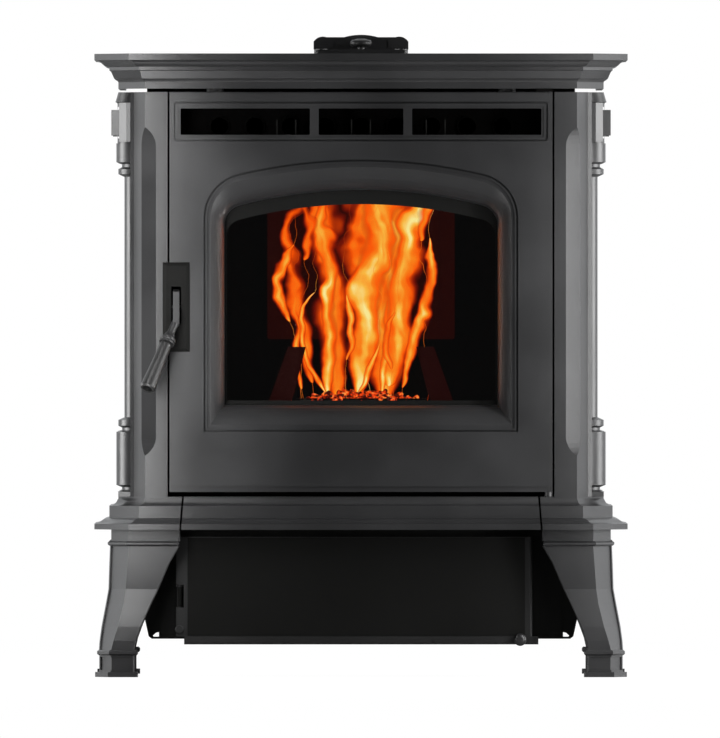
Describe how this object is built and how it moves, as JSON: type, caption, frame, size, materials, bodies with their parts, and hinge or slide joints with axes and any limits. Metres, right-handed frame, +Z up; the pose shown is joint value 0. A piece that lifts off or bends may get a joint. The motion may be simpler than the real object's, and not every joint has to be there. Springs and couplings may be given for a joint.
{
  "type": "pellet stove",
  "caption": "Free-standing pellet stove in cast iron with an arched glass door, air grille, moulded top and base, four cabriole legs, ash drawer and rear flue collar",
  "frame": {"origin": "Middle of the stove's footprint on the floor: centre of the bounding box, at floor level", "axes": "+X to the viewer's right, +Y to the back where the flue leaves, +Z up"},
  "size_m": [0.6942, 0.6954, 0.8353],
  "materials": {
    "cast_body": "satin",
    "black_sheet": "satin",
    "grey_sheet": "satin",
    "firebox_steel": "matt",
    "fire_iron": "matt",
    "bare_steel": "brushed",
    "plated_steel": "satin",
    "grip_black": "satin",
    "door_glass": "clear",
    "fibre_rope": "woven",
    "motor_paint": "satin",
    "black_plastic": "matt"
  },
  "bodies": {
    "stove_body": {"air_intake_pipe": "bare_steel", "air_plenum": "black_sheet", "ash_box": "black_sheet", "auger_gearmotor": "motor_paint", "auger_tube": "bare_steel", "back_panels": "fire_iron", "base_front_skirt": "cast_body", "base_left": "cast_body", "base_right": "cast_body", "blower_motors": "motor_paint", "burn_pot": "fire_iron", "casing_screws": "bare_steel", "console_base": "cast_body", "control_box": "black_plastic", "exchanger_tubes": "firebox_steel", "exhaust_duct": "black_sheet", "exhaust_housing": "black_sheet", "fan_housing": "black_sheet", "feed_chute": "black_sheet", "firebox_front": "firebox_steel", "firebox_shell": "firebox_steel", "floor_plate": "black_sheet", "flue_collar": "bare_steel", "front_left_leg": "cast_body", "front_right_leg": "cast_body", "hearth_plate": "firebox_steel", "hinge_pins": "plated_steel", "igniter": "bare_steel", "left_corner_post": "cast_body", "left_side_panel": "cast_body", "pellet_hopper": "black_sheet", "power_inlet": "black_plastic", "rear_cover": "black_sheet", "rear_left_leg": "cast_body", "rear_right_leg": "cast_body", "right_corner_post": "cast_body", "right_side_panel": "cast_body", "top_plate": "cast_body"},
    "front_door": {"front_door": "cast_body", "glass_frame": "black_sheet", "glass_tape": "fibre_rope", "door_glass": "door_glass", "glass_clips": "bare_steel", "door_rope_seal": "fibre_rope", "grille_brackets": "black_sheet", "latch_plate": "black_sheet"},
    "door_handle": {"door_lever": "plated_steel", "handle_ferrule": "plated_steel", "handle_grip": "grip_black"},
    "hopper_lid": {"hopper_lid": "cast_body"},
    "ash_door": {"ash_door": "grey_sheet", "ash_door_panel": "black_sheet"},
    "ash_latch": {"ash_latch": "plated_steel"},
    "ash_pan": {"ash_pan": "bare_steel"},
    "control_cover": {"control_cover": "cast_body"},
    "control_knob": {"control_knob": "black_plastic"},
    "feed_auger": {"feed_auger": "bare_steel"},
    "exhaust_impeller": {"exhaust_impeller": "bare_steel"},
    "fan_wheel": {"fan_wheel": "bare_steel"},
    "pot_floor": {"pot_floor": "fire_iron"}
  },
  "joints": [
    {"name": "door_hinge", "type": "hinge", "parent": "stove_body", "child": "front_door", "pos_m": [0.244, -0.26932, 0.5], "axis": [0, 0, 1], "range_deg": [0, 100]},
    {"name": "handle_lift", "type": "hinge", "parent": "front_door", "child": "door_handle", "pos_m": [-0.2403, -0.26032, 0.48], "axis": [-1, 0, 0], "range_deg": [0, 60]},
    {"name": "lid_hinge", "type": "hinge", "parent": "stove_body", "child": "hopper_lid", "pos_m": [0, 0.25068, 0.8075], "axis": [-1, 0, 0], "range_deg": [0, 95]},
    {"name": "ash_door_hinge", "type": "hinge", "parent": "stove_body", "child": "ash_door", "pos_m": [-0.2357, -0.23792, 0.12], "axis": [0, 0, -1], "range_deg": [0, 75]},
    {"name": "ash_latch_turn", "type": "hinge", "parent": "ash_door", "child": "ash_latch", "pos_m": [0.207, -0.24432, 0.0484], "axis": [0, 1, 0], "range_deg": [0, 90]},
    {"name": "ash_pan_slide", "type": "slide", "parent": "stove_body", "child": "ash_pan", "axis": [0, -1, 0], "range_m": [0, 0.21]},
    {"name": "control_cover_hinge", "type": "hinge", "parent": "stove_body", "child": "control_cover", "pos_m": [0, -0.11832, 0.8203], "axis": [-1, 0, 0], "range_deg": [0, 95]},
    {"name": "control_knob_turn", "type": "hinge", "parent": "stove_body", "child": "control_knob", "pos_m": [0, -0.22082, 0.82], "axis": [0, 0, 1], "range_deg": [0, 270]},
    {"name": "feed_auger_spin", "type": "hinge", "parent": "stove_body", "child": "feed_auger", "pos_m": [0, 0.19568, 0.33], "axis": [0, -0.8755, 0.4833], "continuous": true},
    {"name": "exhaust_fan_spin", "type": "hinge", "parent": "stove_body", "child": "exhaust_impeller", "pos_m": [-0.15, 0.14568, 0.33], "axis": [1, 0, 0], "continuous": true},
    {"name": "room_fan_spin", "type": "hinge", "parent": "stove_body", "child": "fan_wheel", "pos_m": [0.16, 0.15568, 0.3045], "axis": [1, 0, 0], "continuous": true},
    {"name": "pot_floor_slide", "type": "slide", "parent": "stove_body", "child": "pot_floor", "axis": [0, 1, 0], "range_m": [0, 0.07]}
  ],
  "couplings": [
    {"joint": "ash_pan_slide", "follows": "ash_door_hinge", "m_per_rad": 0.16}
  ]
}
